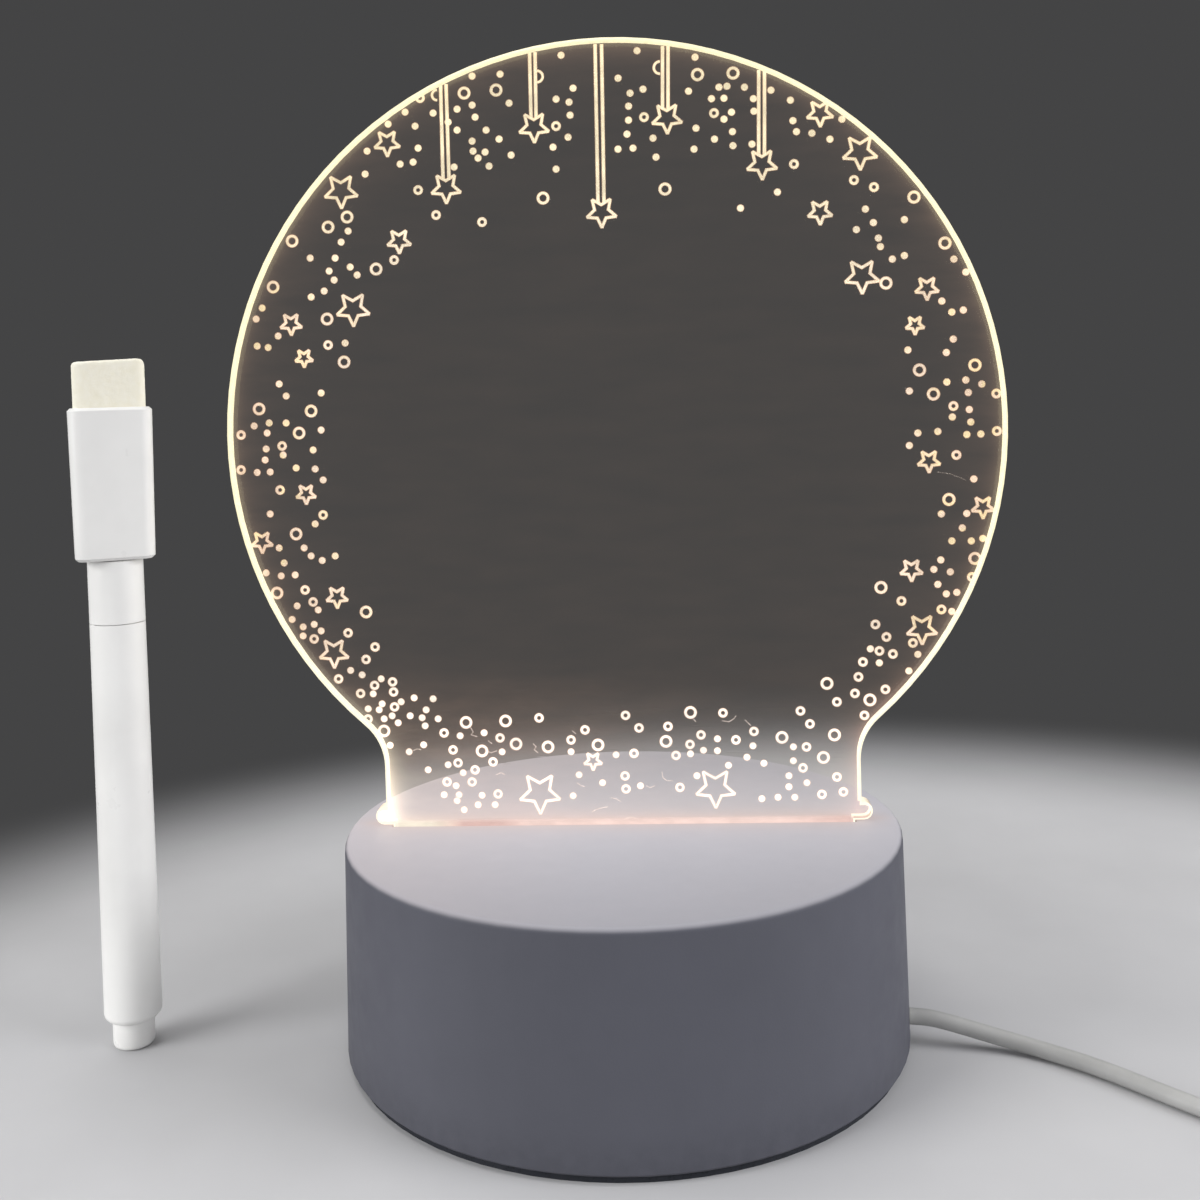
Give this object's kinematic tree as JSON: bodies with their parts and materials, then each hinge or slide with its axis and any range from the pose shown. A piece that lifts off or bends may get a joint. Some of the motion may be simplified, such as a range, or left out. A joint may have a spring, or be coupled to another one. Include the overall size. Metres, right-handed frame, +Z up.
{
  "type": "led writing board",
  "caption": "Clear round writing board edge-lit by the round base it stands in, with its USB cable, inline switch and a capped marker with a felt eraser.",
  "frame": {"origin": "centre of the base's foot pad, on the table", "axes": "+Z up, +X to the right along the board's slot, the board's front and the viewer towards -Y"},
  "size_m": [0.2732, 0.1051, 0.1795],
  "materials": {
    "base_plastic": "fine matt moulded surface, faintly lavender",
    "white_plastic": "fine matt moulded surface",
    "black_rubber": "matt foam rubber",
    "screw_steel": "zinc plated",
    "clear_acrylic": "clear, polished, with etched marks that glow",
    "board_laminate": "white solder resist",
    "led_lens": "warm white lens",
    "black_ceramic": "matt",
    "cable_white": "satin soft jacket",
    "red_vinyl": "satin wire jacket",
    "black_vinyl": "satin wire jacket",
    "plug_steel": "nickel plated sheet",
    "marker_plastic": "satin moulded surface",
    "nib_fibre": "ink soaked fibre",
    "cream_felt": "dense felt"
  },
  "bodies": {
    "base": {"base_housing": "base_plastic", "bottom_cover": "base_plastic", "non_slip_pad": "black_rubber", "cover_screw_1": "screw_steel", "cover_screw_2": "screw_steel", "cover_screw_3": "screw_steel", "cover_screw_4": "screw_steel", "led_board": "board_laminate", "led_board_screw_1": "screw_steel", "led_board_screw_2": "screw_steel", "led_1": "led_lens", "led_2": "led_lens", "led_3": "led_lens", "led_4": "led_lens", "led_5": "led_lens", "led_6": "led_lens", "led_7": "led_lens", "led_8": "led_lens", "resistor_1": "black_ceramic", "resistor_2": "black_ceramic", "cable_grommet": "cable_white", "cable_tail": "cable_white", "cable_clamp": "white_plastic", "clamp_screw_1": "screw_steel", "clamp_screw_2": "screw_steel", "red_wire": "red_vinyl", "black_wire": "black_vinyl", "usb_cable_lead": "cable_white", "switch_lower_shell": "white_plastic", "switch_upper_shell": "white_plastic", "usb_cable_link": "cable_white", "usb_cable_coil": "cable_white", "usb_cable_end": "cable_white", "plug_grip": "cable_white", "plug_shell": "plug_steel", "plug_insert": "white_plastic"},
    "board": {"writing_board": "clear_acrylic"},
    "rocker": {"switch_rocker": "white_plastic"},
    "marker": {"marker_end_plug": "marker_plastic", "marker_barrel": "marker_plastic", "marker_front_section": "marker_plastic", "marker_nib": "nib_fibre", "ink_reservoir": "nib_fibre"},
    "cap": {"marker_cap": "marker_plastic", "cap_liner": "marker_plastic", "eraser_felt": "cream_felt"}
  },
  "joints": [
    {"name": "board_lift", "type": "slide", "parent": "base", "child": "board", "axis": [0, 0, 1], "range_m": [0, 0.03]},
    {"name": "rocker_tilt", "type": "hinge", "parent": "base", "child": "rocker", "pos_m": [0.1235, -0.04, 0.0052], "axis": [0, 1, 0], "range_deg": [-14, 0]},
    {"name": "marker_lift", "type": "slide", "parent": "base", "child": "marker", "axis": [0, 0, 1], "range_m": [0, 0.05]},
    {"name": "cap_pull", "type": "slide", "parent": "marker", "child": "cap", "axis": [0, 0, 1], "range_m": [0, 0.035]}
  ]
}
